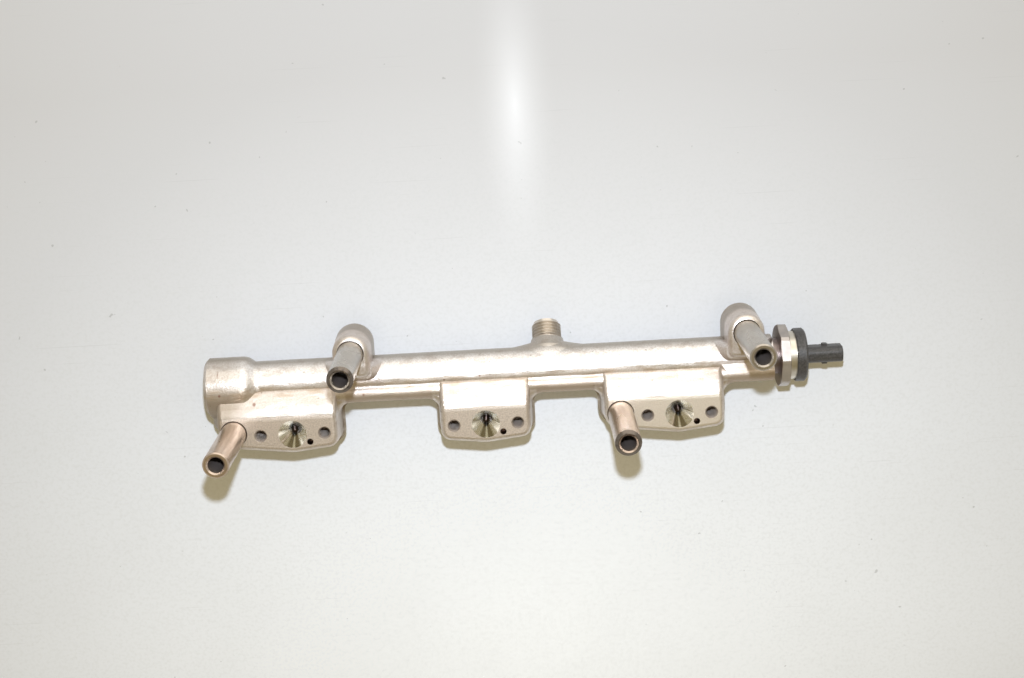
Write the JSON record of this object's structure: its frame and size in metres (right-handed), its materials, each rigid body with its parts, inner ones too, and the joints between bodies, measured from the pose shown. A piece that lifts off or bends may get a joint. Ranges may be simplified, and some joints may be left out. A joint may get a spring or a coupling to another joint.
{
  "type": "fuel rail",
  "caption": "Forged steel fuel rail with bolting pads, cone seats, pressed-in bolt sleeves, a threaded inlet and a screwed-in pressure sensor.",
  "frame": {"origin": "centre of the middle pad's cone seat and of its two bolt holes, on the pad's machined face", "axes": "+X along the rail to the sensor, +Y to the inlet side, +Z out of the machined pad faces, the way the bolt sleeves stand"},
  "size_m": [0.3021, 0.0579, 0.0832],
  "materials": {
    "forged_steel": "satin, blasted forging with machined pad faces",
    "sleeve_front": "smooth turned, copper-brown tint",
    "sleeve_rear": "smooth turned, grey",
    "sensor_steel": "bright turned",
    "sensor_cell": "ground",
    "sensor_ring": "satin",
    "sensor_plastic": "black satin moulding",
    "sensor_board": "green board",
    "sensor_terminals": "tinned"
  },
  "bodies": {
    "root": {"rail_body": "forged_steel", "sleeve_front_left": "sleeve_front", "sleeve_front_right": "sleeve_front", "sleeve_rear_left": "sleeve_rear", "sleeve_rear_right": "sleeve_rear", "sensor_body": "sensor_steel", "sensor_cell": "sensor_cell", "sensor_ring": "sensor_ring", "sensor_housing": "sensor_plastic", "sensor_board": "sensor_board", "sensor_terminals": "sensor_terminals"}
  },
  "joints": []
}
